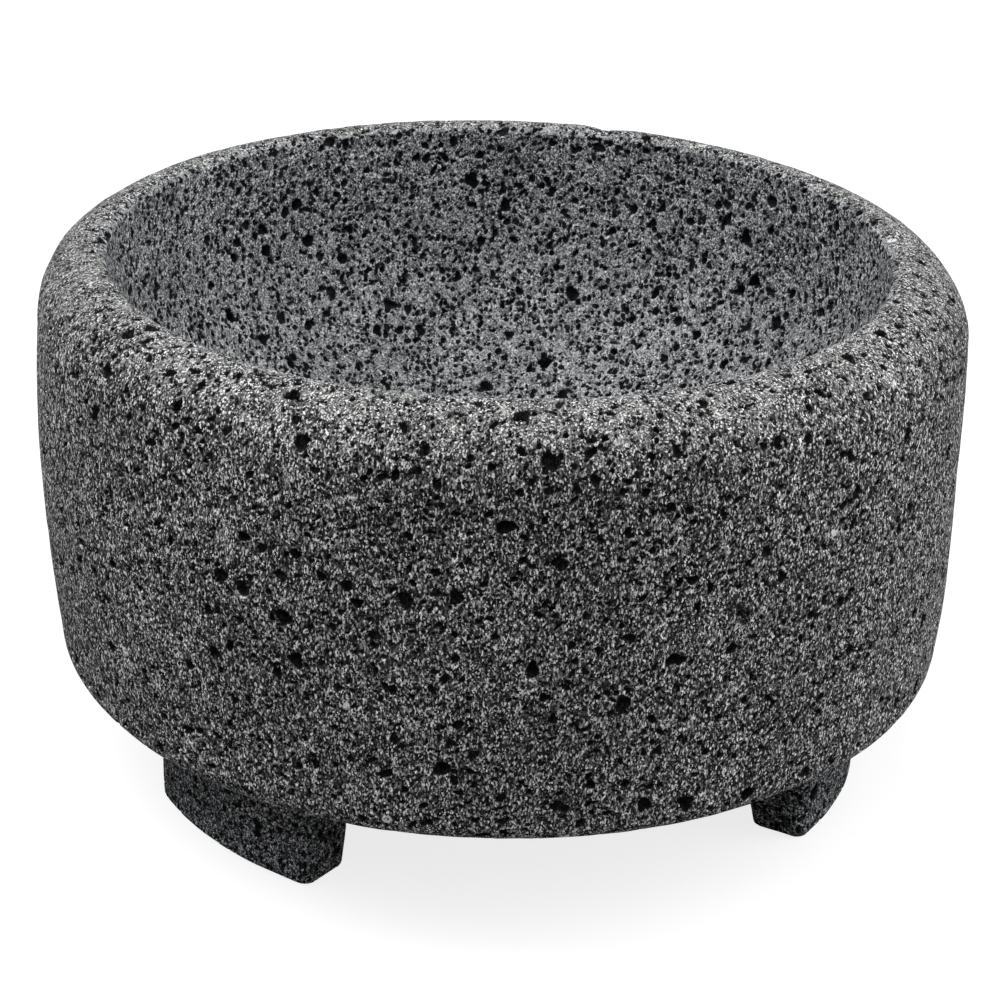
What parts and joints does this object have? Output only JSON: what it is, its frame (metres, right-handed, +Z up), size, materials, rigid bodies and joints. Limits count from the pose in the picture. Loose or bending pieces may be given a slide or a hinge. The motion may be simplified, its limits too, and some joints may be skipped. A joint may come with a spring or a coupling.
{
  "type": "stone mortar",
  "caption": "Round stone mortar with a deep grinding basin, a rounded rim and short curved feet under its flat base, all in dark porous basalt.",
  "frame": {"origin": "on the surface the mortar stands on, under the middle of the bowl", "axes": "+Z up through the bowl's mouth; the front of the mortar faces -Y, with a foot each side of it and the third foot at the back"},
  "size_m": [0.2, 0.2, 0.118],
  "materials": {
    "basalt": "matte, porous, sawn and ground"
  },
  "bodies": {
    "root": {"bowl": "basalt", "foot_left": "basalt", "foot_right": "basalt", "foot_rear": "basalt"}
  },
  "joints": []
}
